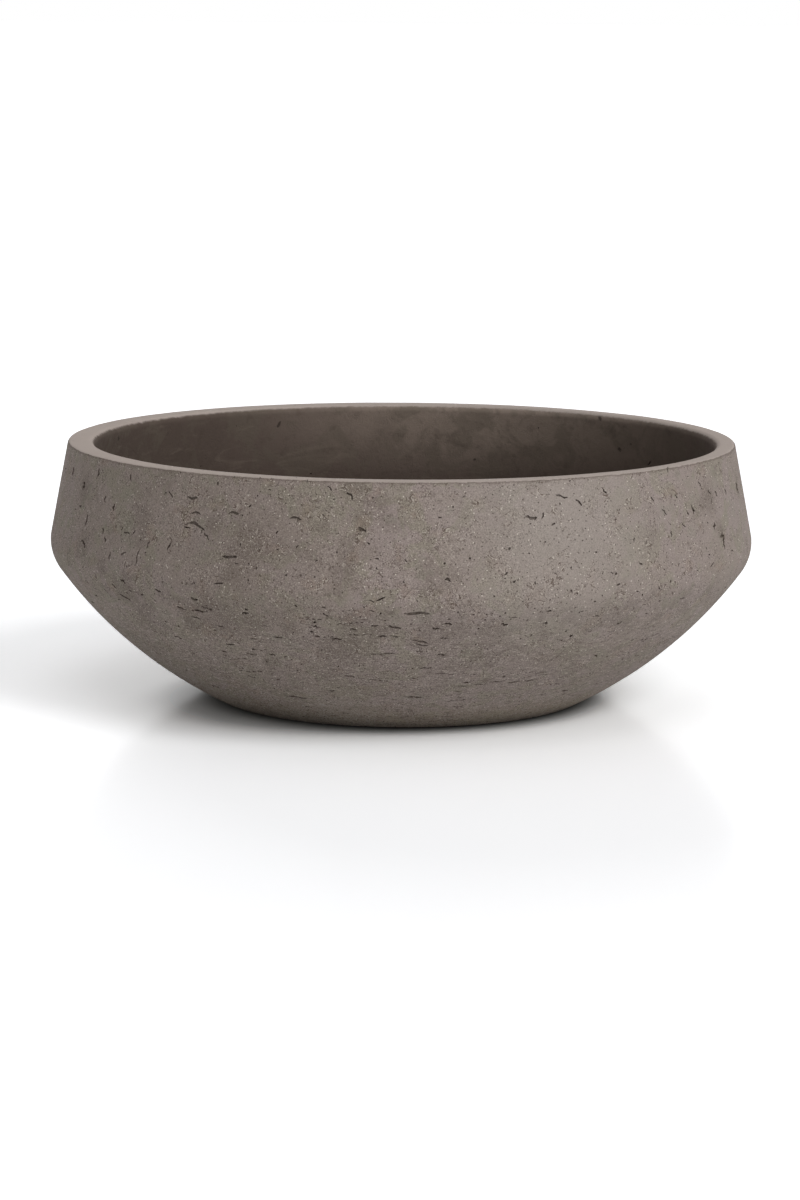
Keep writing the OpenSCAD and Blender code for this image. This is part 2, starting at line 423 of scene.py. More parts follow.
scale = add(tree, "ShaderNodeMath", {0: 1.0, 1: given["Swell Size"]}, operation="DIVIDE")
waves = add(tree, "ShaderNodeTexNoise", {"Vector": place, "Scale": scale, "Detail": 2.0, "Roughness": 0.45})
free = share(tree, in_zones(tree, OUTSIDE, INSIDE), (height, *FOOT_TRUE), (radius, *DRAIN_TRUE))
inward = share(tree, given["Swell"], waves, free, -1.0)
normal = add(tree, "GeometryNodeInputNormal")
sink = add(tree, "ShaderNodeVectorMath", {0: normal, "Scale": inward}, operation="SCALE")

shifted = share(
    tree, given["Inside Shift"], in_zones(tree, RIM, INSIDE), (height, *SHIFT_HEIGHTS), (radius, *RIM_TRUE)
)
shift = add(tree, "ShaderNodeCombineXYZ", {"X": shifted})
move = add(tree, "ShaderNodeVectorMath", {0: sink, 1: shift}, operation="ADD")
moved = add(tree, "GeometryNodeSetPosition", {"Geometry": given["Geometry"], "Offset": move})
end_tree(tree, given, out, moved)
grow(bowl, tree, material=fiberclay)

# %% [markdown]
# ## Voids in the casting
# Air trapped against the mould leaves voids when the casting dries: round pinholes everywhere, thin slits
# where the mix slid down the wall, torn ones where it folded, rows of short dashes where it was pressed
# down in layers, and shallow flakes where the skin came away with the mould. They are dark because they are
# deep, so they are cut into the mesh and not only painted. A bump map would do for a distant view, but it
# has no shadow and vanishes on the outline. Each cutter is a small closed lump, wider at its mouth than at
# its bottom. A kind that is repeated hundreds of times has few corners.

# %% A cutter in the shape of a void
# A lump starts this far above the surface, and this much wider than the void's mouth
MOUTH_ABOVE = 0.6
MOUTH_SPREAD = 1.12
# Levels below the mouth: what is left of its width at each, and the share of the depth at which it lies
SHALLOW = [(0.65, 1)]
DEEP = [(0.9, 0.55), (0.55, 1)]
FLAT = [(0.8, 1)]
# A ragged void's length varies less than its width, and the power makes its ends blunt
RAGGED_LENGTH = 0.3
BLUNT = 0.7
# Its middle wanders from side to side in so many waves
WAVES = (0.8, 1.6)


def lump(length, width, depth, bend, ragged, corners, levels, random):
    """Points and faces of a closed lump: as long and wide as the void's mouth, and drawn in level by level"""
    turn = np.linspace(0, 2 * np.pi, corners, endpoint=False) + np.pi / corners
    along = length / 2 * np.cos(turn) * (1 + RAGGED_LENGTH * ragged * random.uniform(-1, 1, corners))
    full = np.sign(np.sin(turn)) * np.abs(np.sin(turn)) ** BLUNT
    across = width / 2 * full * (1 + ragged * random.uniform(-1, 1, corners))
    waves, start = random.uniform(*WAVES), random.uniform(0, 1)
    wander = ragged * width / 2 * np.sin(2 * np.pi * (waves * along / length + start))
    middle = bend * (1 - (2 * along / length) ** 2) + wander
    rings = [(MOUTH_SPREAD, MOUTH_ABOVE)] + [(left, -down * depth) for left, down in levels]
    points = [
        Vector((x * (1 + left) / 2, y * left + lift, level))
        for left, level in rings
        for x, y, lift in zip(along, across, middle)
    ]
    faces = [
        (r + i, r + corners + i, r + corners + (i + 1) % corners, r + (i + 1) % corners)
        for r in range(0, (len(rings) - 1) * corners, corners)
        for i in range(corners)
    ]
    last = (len(rings) - 1) * corners
    return points, faces + [tuple(range(corners)), tuple(range(last + corners - 1, last - 1, -1))]


def cutter(name, lumps):
    """One object of several lumps, each with its place and its darkness, out of the scene"""
    points, faces, dark = [], [], []
    for (own_points, own_faces), there, shade in lumps:
        faces += [tuple(i + len(points) for i in face) for face in own_faces]
        points += [(there @ point) * MM for point in own_points]
        dark += [shade] * len(own_faces)
    mesh = bpy.data.meshes.new(name)
    mesh.from_pydata(points, [], faces)
    mesh.attributes.new("void", "FLOAT", "FACE").data.foreach_set("value", dark)
    return bpy.data.objects.new(name, mesh)


# %% Kinds of voids, sizes in millimetres
def kind(label, count, lengths, widths, depths, shades, bend, ragged, corners, levels):
    """A collection of cutters of one kind, from short to long, for a tree to pick from"""
    random = np.random.default_rng(count)
    shapes = bpy.data.collections.new(label)
    for i, length in enumerate(np.geomspace(*lengths, count)):
        width, depth = random.uniform(*widths), random.uniform(*depths)
        own_bend = bend * length * random.uniform(-1, 1)
        made = lump(length, width, depth, own_bend, ragged, corners, levels, random)
        shapes.objects.link(cutter(f"{label}_{i}", [(made, Matrix(), random.uniform(*shades))]))
    return shapes


pinholes = kind(
    "pinhole", 6, lengths=(1.0, 2.6), widths=(0.9, 1.4), depths=(0.8, 1.2), shades=(0.5, 1),
    bend=0, ragged=0.3, corners=6, levels=SHALLOW,
)
slits = kind(
    "slit", 10, lengths=(2.4, 7), widths=(0.9, 1.5), depths=(0.9, 1.5), shades=(0.5, 1),
    bend=0.07, ragged=0.4, corners=9, levels=SHALLOW,
)
tears = kind(
    "tear", 8, lengths=(4, 11), widths=(1.4, 2.4), depths=(1.0, 1.9), shades=(0.6, 1),
    bend=0.1, ragged=0.5, corners=14, levels=DEEP,
)
flakes = kind(
    "flake", 7, lengths=(4, 11), widths=(1.8, 4.0), depths=(0.3, 0.5), shades=(0.1, 0.3),
    bend=0.12, ragged=0.5, corners=14, levels=FLAT,
)

# %% Rows of dashes, sizes in millimetres
DASH_LENGTHS = (1.8, 5.0)
DASH_WIDTHS = (0.9, 1.4)
DASH_GAPS = (0.8, 2.4)
DASH_STEP = 0.6

chains = bpy.data.collections.new("chain")
random = np.random.default_rng(5)
for i in range(5):
    reach, row = 0, []
    for _ in range(3 + i % 3):
        length = random.uniform(*DASH_LENGTHS)
        dash = lump(
            length, random.uniform(*DASH_WIDTHS), depth=1.0, bend=0.1 * length, ragged=0.4, corners=8,
            levels=SHALLOW, random=random,
        )
        there = Matrix.Translation((reach + length / 2, random.uniform(-DASH_STEP, DASH_STEP), 0))
        row.append((dash, there, random.uniform(0.5, 1)))
        reach += length + random.uniform(*DASH_GAPS)
    centred = Matrix.Translation((-reach / 2, 0, 0))
    chains.objects.link(cutter(f"chain_{i}", [(dash, centred @ there, dark) for dash, there, dark in row]))

# %% [markdown]
# The largest voids are as particular to one bowl as a scar, so they are set one by one where the real bowl
# has them. The list was typed void by void. Each was found in the photograph, and where it shows there gives
# its bearing and its height on the wall, through the camera above. Its size was judged. Each entry gives the
# bearing round the axis (-90 faces the camera) and the height, the turn in the surface, the length, width
# and bend, and the darkness. Each void stands on the section, so it sits in the wall from any side.

# %% The largest voids
LARGEST = [
    (-161.5, 168, 85, 6, 3.0, 0, 0.8), (-154.5, 162, 70, 6, 3.0, 0.3, 1), (-154.5, 148, 5, 5, 1.4, 0, 0.7),
    (-149.5, 173, 85, 6, 1.8, 0, 0.9), (-146, 157, 88, 4.5, 1.8, 0, 0.8), (-145, 136, -70, 5, 1.6, 0, 0.7),
    (-144, 131, -60, 4, 1.8, 0, 0.9), (-143, 153, 88, 5, 1.8, 0, 0.9), (-142, 121, 85, 6, 1.5, 0.3, 0.6),
    (-141.5, 100.5, -35, 5, 1.3, 0, 0.7), (-138.5, 137, 0, 8, 1.2, 1.6, 0.5),
    (-132.5, 67, -12, 6, 1.2, 0, 0.7), (-121, 41, -14, 6, 1.2, 0, 0.6), (-117.5, 61, -8, 8, 0.9, 0.3, 0.5),
    (-113, 62.5, -6, 4, 1.1, 0, 0.7), (-103.5, 90, 10, 2.4, 1.4, 0, 1), (-103.5, 87, -20, 3, 1.4, 0, 1),
    (-101.5, 96, -30, 5, 1.2, 0, 0.7), (-94, 89, 4, 5, 1.3, 0, 0.7), (-94, 45, -5, 15, 0.9, 0.5, 0.5),
    (-93, 81, 0, 6, 1.4, 0, 0.8), (-93, 7, 0, 14, 1.2, 0.3, 0.5), (-91, 81, -6, 7, 1.0, 0, 0.6),
    (-86.5, 74.5, -18, 9, 1.0, -0.4, 0.6), (-85.5, 55.5, 3, 8, 1.1, 0.5, 0.7),
    (-84.5, 87, -10, 5, 1.3, 0, 0.9), (-83, 79.5, 0, 5, 1.1, 0, 0.6), (-83, 66.5, 0, 5, 1.2, 0, 0.8),
    (-82.5, 90.5, -18, 5.5, 1.3, 0, 0.9), (-82.5, 51, 3, 9, 1.0, 0, 0.5), (-78, 11, 4, 10, 1.3, 0.4, 0.6),
    (-77.5, 35, 0, 10, 1.0, -0.3, 0.5), (-76.5, 20.5, 0, 7, 1.4, 0, 0.7),
    (-66.5, 88, -10, 3.5, 1.5, 0, 0.9), (-62, 47, 2, 14, 0.8, 0.3, 0.5), (-51.5, 56.5, -30, 5, 1.1, 0, 0.7),
    (-46, 164.5, -60, 5, 1.0, 0, 0.7), (-40.5, 62.5, 22, 5, 1.2, 0, 0.8), (-40, 164, -50, 3.5, 1.2, 0, 0.8),
    (-39, 144, -40, 5, 0.9, 0, 0.6), (-38, 66, 25, 7, 1.0, 0.2, 0.7), (-37.5, 152, -55, 4, 1.0, 0, 0.7),
    (-35.5, 153, -50, 4, 1.0, 0, 0.7), (-32.5, 169, -50, 5, 1.2, 0, 0.7), (-29.5, 162, -45, 5, 1.2, 0, 0.8),
    (-27, 160, -60, 5, 1.6, 0, 0.8), (-22.5, 159, -75, 5, 1.8, 0, 0.8), (-151, 140, 80, 7, 2.0, 0.3, 0.8),
    (-150.5, 124, -50, 6, 1.7, 0.2, 0.8), (-139.5, 174, -60, 5, 1.1, 0, 0.9),
    (-140, 93, -30, 11, 1.3, 0.3, 0.7), (-138.5, 105.5, -15, 6, 1.2, 0, 0.9),
    (-137, 25, -12, 8, 1.7, 0.5, 0.8), (-135, 124, 82, 12, 1.3, 0.6, 0.6),
    (-133, 133, 70, 6, 1.2, 0.4, 0.5), (-130.5, 103, -14, 6, 1.1, 0, 0.9),
    (-128.5, 133.5, 62, 6, 1.3, 0.3, 0.9), (-124, 148, -9, 16, 1.6, 2.4, 0.6),
    (-121.5, 143, -40, 6, 1.3, 0, 0.7), (-124, 157, 0, 8, 1.3, 0.5, 0.5), (-125, 167, 0, 9, 1.5, -0.4, 0.5),
    (-117, 159, 3, 8, 1.8, 0.9, 0.5), (-117, 131, 0, 11, 1.7, 0.4, 0.8),
    (-123.5, 100.5, -6, 6, 1.5, 0, 0.9), (-127, 92, -10, 8, 1.0, 0, 0.7),
    (-123.5, 92, -8, 9, 1.2, -0.3, 0.9), (-125, 86, -12, 8, 0.9, 0, 0.8), (-122, 95, -20, 5, 1.0, 0, 0.7),
    (-113.5, 26, -6, 15, 1.5, 0.3, 1), (-106.5, 158, -5, 9, 1.4, 1.0, 0.5),
    (-104.5, 34.5, 0, 7, 1.3, 0, 0.9), (-100.5, 78, 0, 8, 1.2, 0, 1), (-99.5, 48, -12, 8, 1.3, 0, 1),
    (-98, 174, -50, 6, 1.7, 0.5, 0.8), (-97.5, 86, -8, 4.5, 1.3, 0, 0.9),
    (-96, 152.5, -28, 6, 1.9, 0.2, 0.7), (-93, 67, 6, 16, 1.0, 0.5, 0.6), (-91, 88, -18, 9, 1.5, 0.3, 0.9),
    (-87.5, 98.5, -2, 17, 1.7, -0.4, 0.7), (-87, 77, -16, 12, 1.2, 0.6, 0.7), (-87, 30.5, 0, 10, 1.5, 0, 1),
    (-83, 121, -12, 4, 1.6, 0, 0.8), (-77.5, 39.5, 0, 7, 1.3, 0, 0.9), (-74, 40.5, 4, 9, 1.1, 0.3, 0.7),
    (-70.5, 42, 5, 10, 1.2, 0, 0.8), (-67, 41, 6, 9, 1.2, -0.3, 0.8), (-63.5, 41, 0, 7, 1.3, 0, 0.9),
    (-73.5, 88.5, -16, 5, 1.3, 0, 1), (-69.5, 159, -5, 9, 2.2, 0.3, 0.8), (-67.5, 160, 70, 4, 1.2, 0, 0.7),
    (-64, 172, -16, 10, 1.2, -0.5, 0.8), (-61, 167, -38, 7, 1.2, 0, 0.7), (-60.5, 76, 0, 2.6, 1.9, 0, 1),
    (-56, 173, -50, 5, 1.1, 0, 0.8), (-51.5, 82, 20, 4, 1.4, 0, 0.9), (-43.5, 155, -50, 6, 1.1, 0, 0.7),
    (-42.5, 140, 86, 4, 1.1, 0, 0.9), (-29.5, 139, 62, 5, 2.6, 0, 0.9), (-27, 130.5, -72, 6, 4.4, 0.3, 1),
    (-27, 125, 88, 6, 1.6, 0, 0.7), (-14.5, 157, -78, 9, 4.2, 0.4, 1),
]
LARGEST_DEPTH = 1.5
LARGEST_RAGGED = 0.5
LARGEST_CORNERS = 20
# Their mouths gape wider than they look, in this ratio below and above the shoulder
GAPE_LOW = 1.35
GAPE_HIGH = 1.1


def on_wall(bearing, height, turn):
    """The place of a void in the outer wall: X runs level to the right, Z comes straight out"""
    outer = [point for zone, run in runs if zone == OUTSIDE for point in run]
    above = next(i for i, point in enumerate(outer) if point[1] > height)
    low, high = outer[above - 1], outer[above]
    radius = low[0] + (high[0] - low[0]) * (height - low[1]) / (high[1] - low[1])
    tip = heading(low, high) - 90
    return (
        Matrix.Rotation(math.radians(bearing), 4, "Z")
        @ Matrix.Translation((radius, 0, height))
        @ Matrix.Rotation(math.radians(-tip), 4, "Y")
        @ Matrix(((0, 0, 1, 0), (1, 0, 0, 0), (0, 1, 0, 0), (0, 0, 0, 1)))
        @ Matrix.Rotation(math.radians(turn), 4, "Z")
    )


random = np.random.default_rng(2)
lumps = []
for bearing, height, turn, length, width, bend, dark in LARGEST:
    gape = GAPE_LOW if height < SHOULDER_HEIGHT else GAPE_HIGH
    made = lump(length, width * gape, LARGEST_DEPTH, bend, LARGEST_RAGGED, LARGEST_CORNERS, DEEP, random)
    lumps.append((made, on_wall(bearing, height, turn), dark))
largest_voids = cutter("largest_voids", lumps)
print(f"{len(LARGEST)} voids set by hand")

# %% [markdown]
# The other voids lie in clusters, most of them on the outside. Low on the wall there are more of them, they
# gape wider and they lie level, because the mix was pressed down there. Towards the rim there are fewer,
# and they turn any way. The torn voids of the front are listed one by one, so the far side has its own
# share of them. A point tree does this well. It scatters points on the surface, thicker where a slow noise
# says so, and stands a cutter on each with its mouth outwards, turned in the surface.

# %% How many voids there are
def ramp(low, high, first, last):
    """The sockets of a Map Range that goes straight from a first value at low to a last one at high"""
    return {"From Min": low, "From Max": high, "To Min": first, "To Max": last}


CLUSTERED = ramp(0.36, 0.66, 0.25, 2.1)
FEWER_HIGH_UP = ramp(80 * MM, 130 * MM, 0.9, 0.55)
FAR_SIDE = (30 * MM, 120 * MM)
ALL_HEIGHTS = (-20 * MM, -10 * MM)


def density(tree, given, count, rim, inside, seed, heights, behind):
    """Voids on a square metre: a count outside, a share of it on the rim and inside, and more behind"""
    place = add(tree, "GeometryNodeInputPosition")
    noise = add(tree, "ShaderNodeTexNoise", {
        "Vector": place, "Scale": given["Cluster Scale"], "Detail": 1.0, "W": float(seed),
    }, noise_dimensions="4D")
    cluster = add(tree, "ShaderNodeMapRange", {"Value": noise, **CLUSTERED})
    allowed = in_zones(tree, OUTSIDE, OUTSIDE)
    for zone, amount in ((RIM, rim), (INSIDE, inside)):
        allowed = add(tree, "ShaderNodeMath", {
            0: in_zones(tree, zone, zone), 1: amount, 2: allowed,
        }, operation="MULTIPLY_ADD")
    parts = add(tree, "ShaderNodeSeparateXYZ", {0: place})
    fewer = add(tree, "ShaderNodeMapRange", {"Value": parts.outputs["Z"], **FEWER_HIGH_UP})
    more = add(tree, "ShaderNodeMapRange", {"Value": parts.outputs["Y"], **ramp(*FAR_SIDE, 1.0, behind)})
    return share(tree, allowed, cluster, given[count], fewer, more, (parts.outputs["Z"], *heights))


# %% How the voids lie
WIDER_LOW_DOWN = ramp(110 * MM, 70 * MM, 1.0, 1.3)
TURNING = (90 * MM, 150 * MM)


def scatter(tree, given, count, shapes, rim, inside, seed, turns, sizes, heights=ALL_HEIGHTS, behind=1.0):
    """Cutters on the casting, in random sizes, turned by up to so many degrees low down and high up"""
    points = add(tree, "GeometryNodeDistributePointsOnFaces", {
        "Mesh": given["Geometry"], "Seed": seed,
        "Density": density(tree, given, count, rim, inside, seed, heights, behind),
    })
    parts = add(tree, "ShaderNodeSeparateXYZ", {0: add(tree, "GeometryNodeInputPosition")})
    back = add(tree, "ShaderNodeMath", {0: parts.outputs["Y"], 1: -1.0}, operation="MULTIPLY")
    round_about = add(tree, "ShaderNodeCombineXYZ", {"X": back, "Y": parts.outputs["X"]})
    stand = add(tree, "FunctionNodeAxesToRotation", {
        "Primary Axis": points.outputs["Normal"], "Secondary Axis": round_about,
    }, primary_axis="Z", secondary_axis="X")
    most = add(tree, "ShaderNodeMapRange", {
        "Value": parts.outputs["Z"], **ramp(*TURNING, math.radians(turns[0]), math.radians(turns[1])),
    })
    chance = add(tree, "FunctionNodeRandomValue", {
        "Min": -1.0, "Max": 1.0, "Seed": seed + 1,
    }, data_type="FLOAT")
    turn = add(tree, "FunctionNodeAxisAngleToRotation", {
        "Axis": (0, 0, 1), "Angle": share(tree, chance, most),
    })
    turned = add(tree, "FunctionNodeRotateRotation", {
        "Rotation": stand, "Rotate By": turn,
    }, rotation_space="LOCAL")
    gape = add(tree, "ShaderNodeMapRange", {"Value": parts.outputs["Z"], **WIDER_LOW_DOWN})
    shape = add(tree, "ShaderNodeCombineXYZ", {"X": 1.0, "Y": gape, "Z": 1.0})
    own_size = add(tree, "FunctionNodeRandomValue", {
        "Min": sizes[0], "Max": sizes[1], "Seed": seed + 2,
    }, data_type="FLOAT")
    scale = add(tree, "ShaderNodeVectorMath", {0: shape, "Scale": own_size}, operation="SCALE")
    cutters = add(tree, "GeometryNodeCollectionInfo", {
        "Collection": shapes, "Separate Children": True, "Reset Children": True,
    })
    return add(tree, "GeometryNodeInstanceOnPoints", {
        "Points": points, "Instance": cutters, "Pick Instance": True, "Rotation": turned, "Scale": scale,
    }).outputs["Instances"]


# %% [markdown]
# All the cutters are taken away from the casting in one cut, with the solver for closed meshes, which is
# quick and leaves a closed mesh. Afterwards the tree gives the new faces the zone of the nearest old ones,
# and notes how deep each point lies, so that a void can be painted darker towards its bottom, as painted
# shade.

# %% The tree that cuts the voids
# How many there are on a square metre of the outside
VOID_COUNTS = {"Pinholes": 4200.0, "Slits": 1400.0, "Tears": 120.0, "Flakes": 200.0, "Chains": 220.0}
CLUSTER_SIZE = 50
MORE_BEHIND = 6.0
CHAIN_HEIGHTS = (120 * MM, 85 * MM)

tree, given, out = geometry_tree("casting voids", {
    **VOID_COUNTS, "Cluster Scale": 1 / (CLUSTER_SIZE * MM), "Material": "NodeSocketMaterial",
})
casting = given["Geometry"]
cutters = [
    add(tree, "GeometryNodeObjectInfo", {"Object": largest_voids}).outputs["Geometry"],
    scatter(
        tree, given, "Pinholes", pinholes, rim=0.3, inside=0.06, seed=11,
        turns=(180, 180), sizes=(0.6, 1.15),
    ),
    scatter(
        tree, given, "Slits", slits, rim=0.25, inside=0.01, seed=3,
        turns=(9, 100), sizes=(0.55, 1.1),
    ),
    scatter(
        tree, given, "Tears", tears, rim=0.1, inside=0.1, seed=23,
        turns=(10, 80), sizes=(0.6, 1.0), behind=MORE_BEHIND,
    ),
    scatter(
        tree, given, "Flakes", flakes, rim=0.0, inside=0.1, seed=31,
        turns=(12, 60), sizes=(0.6, 1.1),
    ),
    scatter(
        tree, given, "Chains", chains, rim=0.0, inside=0.0, seed=41,
        turns=(8, 30), sizes=(0.6, 1.0), heights=CHAIN_HEIGHTS,
    ),
]
joined = add(tree, "GeometryNodeJoinGeometry")
for made in cutters:
    tree.links.new(made, joined.inputs[0])
cut = add(tree, "GeometryNodeMeshBoolean", {
    "Mesh 1": casting, "Mesh 2": joined,
}, operation="DIFFERENCE", solver="MANIFOLD")
old_zone = add(tree, "GeometryNodeInputNamedAttribute", {"Name": "zone"}, data_type="FLOAT")
zone_there = add(tree, "GeometryNodeSampleNearestSurface", {
    "Mesh": casting, "Value": old_zone,
}, data_type="FLOAT")
deep = add(tree, "GeometryNodeProximity", {"Geometry": casting}, target_element="FACES").outputs["Distance"]
noted = cut
for name, value in (("zone", zone_there), ("depth", deep)):
    noted = add(tree, "GeometryNodeStoreNamedAttribute", {
        "Geometry": noted, "Name": name, "Value": value,
    }, data_type="FLOAT", domain="POINT")
end_tree(tree, given, out, noted)
grow(bowl, tree, material=fiberclay)

# %% [markdown]
# The cut leaves crisp mouths on a soft wall. Shading is smooth over both, apart from edges sharper than a
# limit, so a mouth keeps its edge and the wall shows no facets.

# %% Shade the casting
SHARP_ANGLE = 32


def shade(mesh, angle):
    """Smooth shading, apart from edges sharper than an angle in degrees"""
    mesh.shade_smooth()
    mesh.set_sharp_from_angle(angle=math.radians(angle))


shade(bowl.data, SHARP_ANGLE)
triangles = sum(len(face.vertices) - 2 for face in bowl.data.polygons)
print(f"{triangles} triangles in the casting")

# %% [markdown]
# ## A map for the colours
# Colours that are baked need an image, and an image needs a map. A lathe-turned piece has a plain one: once
# round the axis from left to right, and once along the section from bottom to top. The place along the
# section is that of the nearest point on it, which also suits the walls of the voids.

# %% The map, round the axis and along the section
def along_section(points):
    """For points, the share of the section's length at which each comes nearest to it"""
    line_start = np.array(section) * MM
    line_end = np.roll(line_start, -1, axis=0)
    step = line_end - line_start
    length = np.linalg.norm(step, axis=1)
    begin = np.concatenate([[0], np.cumsum(length)[:-1]])
    flat = np.stack([np.hypot(points[:, 0], points[:, 1]), points[:, 2]], axis=1)
    place = np.zeros(len(flat))
    # In 40 lots, because every point against every line at once would fill the memory
    for some in np.array_split(np.arange(len(flat)), 40):
        away = flat[some, None] - line_start
        part = np.clip((away * step).sum(2) / length**2, 0, 1)
        nearest = np.linalg.norm(away - part[..., None] * step, axis=2).argmin(1)
        place[some] = (begin[nearest] + part[np.arange(len(some)), nearest] * length[nearest]) / length.sum()
    return place


def unwrapped(value, centre):
    """A value on a ring of length 1, moved by whole turns to lie within half a turn of its face's centre"""
    return value - np.round(value - centre)


def lathe_map(mesh):
    """Adds the map to a turned mesh"""
    points = np.zeros((len(mesh.vertices), 3))
    mesh.vertices.foreach_get("co", points.ravel())
    corner = np.zeros(len(mesh.loops), dtype=int)
    mesh.loops.foreach_get("vertex_index", corner)
    first = np.zeros(len(mesh.polygons), dtype=int)
    mesh.polygons.foreach_get("loop_start", first)
    face = np.repeat(np.arange(len(first)), np.diff(np.append(first, len(corner))))
    turn = np.arctan2(points[:, 1], points[:, 0]) / (2 * np.pi) + 0.5
    place = along_section(points)
    across = unwrapped(turn[corner], turn[corner[first]][face])
    up = unwrapped(place[corner], place[corner[first]][face])
    places = np.stack([(side - side.min()) / np.ptp(side) for side in (across, up)], axis=1)
    mesh.uv_layers.new(name="OFBake").data.foreach_set("uv", places.ravel())
    print(f"map spans {np.ptp(across):.3f} by {np.ptp(up):.3f}")


lathe_map(bowl.data)

# %% [markdown]
# ## Cast fiberclay
# Fiberclay is clay, cement and sand with short glass fibre. It is laid in a mould, left to cure, rubbed
# down and sealed matt. To the eye that gives: a warm grey-brown, patched with olive and pinkish grey where
# the mix and its water parted; sand grains, dark and pale, at about half a millimetre; hair-fine curling
# marks left by the mould's release film; level streaks low on the wall, where the mix was pressed down in
# layers; now and then a white fleck of lime; a rim that is paler, partly because it was rubbed level on a
# flat stone and partly as painted light on its top; and an inside that is brown and blotched, because it
# was trowelled and has two coats of sealer, and dark partly in its own tone and partly as painted shade. An
# image of clay would be quicker to set up, but it stretches on a turned form and its voids would not be the
# real ones. Here all patterns are in Object coordinates, so they run through the clay as the real ones do.

# %% Colours of the clay
CLAY = linear("#8d8179")
CLAY_OLIVE = linear("#888073")
CLAY_PINK = linear("#91847f")
CLAY_DARK = linear("#70655d")
# A lighter clay tone, used only for painted light
CLAY_PAINTED_LIGHT = linear("#9a9089")
CLAY_GREY = linear("#89817a")
# Lighter and browner than the clay: painted light near the foot, from the floor below
FLOOR_BOUNCE_TONE = linear("#988a79")
TINT_RUST = linear("#8d7766")
TINT_GREEN = linear("#7e7c6d")
SAND_DARK = linear("#4c423b")
SAND_PALE = linear("#bab0a5")
FLECK = linear("#d3cabd")
CURL = linear("#5b4e46")
# Pale tone of the rubbed rim, which also holds painted light on its top and a painted highlight on its edge
RUBBED_AND_LIT = linear("#bbaea6")
# The dark painted into the depth of the voids, as painted shade
VOID_SHADE = linear("#42372f")

# %% [markdown]
# Most of the finish is patches of another tone on the clay, with soft or torn edges. Noise makes them:
# where it rises from one value to another, the tone comes in. A table of such noises keeps their real sizes
# in view. Each of its rows has the spacing of the patches in millimetres, the noise's detail, roughness and
# twist, the values at which a patch starts and is full, its strength and its tone.

# %% Helpers for patches
def size(millimetres):
    """The scale of a noise or Voronoi texture whose features are this far apart"""
    return 1 / (millimetres * MM)


def spread(place, apart, detail=3.0, roughness=0.6, twist=0.0):
    """The sockets of a noise whose features are this many millimetres apart"""
    return {
        "Vector": place, "Scale": size(apart), "Detail": detail, "Roughness": roughness, "Distortion": twist,
    }


def stain(tree, colour, tone, *parts):
    """A colour that turns into a tone as a share, given in parts, goes from 0 to 1"""
    # A Mix node has sockets for each kind of value. For colours they are 6 and 7, and the mixed one is 2
    sockets = {0: share(tree, *parts), 6: colour, 7: tone}
    return add(tree, "ShaderNodeMix", sockets, data_type="RGBA").outputs[2]


def patched(tree, colour, place, rows, *parts):
    """A colour with patches by rows, each only where the other parts of a share let it show"""
    for apart, detail, roughness, twist, start, full, strength, tone in rows:
        noise = add(tree, "ShaderNodeTexNoise", spread(place, apart, detail, roughness, twist))
        colour = stain(tree, colour, tone, (noise, start, full), strength, *parts)
    return colour


# %% [markdown]
# The wall's clay starts with broad clouds about 70 mm across, then patches of 9 to 40 mm with torn edges.
# Below the shoulder, where the mould's two parts met, there is a band of dull smudges. Faint rust-brown and
# greenish tints, 10 to 20 mm across, lie where the sand was of another kind.

# %% Clouds, patches and tints
CLOUDS = [
    (70, 3, 0.6, 0, 0.42, 0.58, 1, CLAY_PINK),
    (22, 4, 0.55, 0.7, 0.50, 0.57, 0.85, CLAY_OLIVE),
    (9, 2.5, 0.6, 0.5, 0.53, 0.62, 0.4, CLAY_PINK),
    (38, 5, 0.6, 0.5, 0.52, 0.70, 0.65, CLAY_DARK),
    (11, 2.5, 0.65, 0, 0.56, 0.72, 0.42, CLAY_DARK),
]
SMUDGES = [(34, 5, 0.6, 0.8, 0.46, 0.60, 0.6, CLAY_DARK)]
TINTS = [(17, 2, 0.6, 0, 0.57, 0.68, 0.22, TINT_RUST), (17, 2, 0.6, 0, 0.43, 0.32, 0.3, TINT_GREEN)]
BAND_LOW = (62 * MM, 84 * MM)
BAND_HIGH = (108 * MM, 94 * MM)

fiberclay.use_nodes = True
tree = fiberclay.node_tree
tree.nodes.clear()
place = add(tree, "ShaderNodeTexCoord").outputs["Object"]
parts = add(tree, "ShaderNodeSeparateXYZ", {0: place}).outputs
height = parts["Z"]
colour = patched(tree, CLAY, place, CLOUDS)
colour = patched(tree, colour, place, SMUDGES, (height, *BAND_LOW), (height, *BAND_HIGH))
colour = patched(tree, colour, place, TINTS)

# %% [markdown]
# Some marks are particular to this bowl, and noise would never put them where they are. Each is listed as a
# place on the wall, by its bearing and height, how far it reaches and how far its core does, its strength
# and its tone. The small ones are dull stains round some of the voids near the sides. The broad ones are
# painted light and shade: a lighter patch right of the middle, a darker one left of it and a lighter one at
# the foot. Noise shakes the place that they are measured from, so their edges are torn.

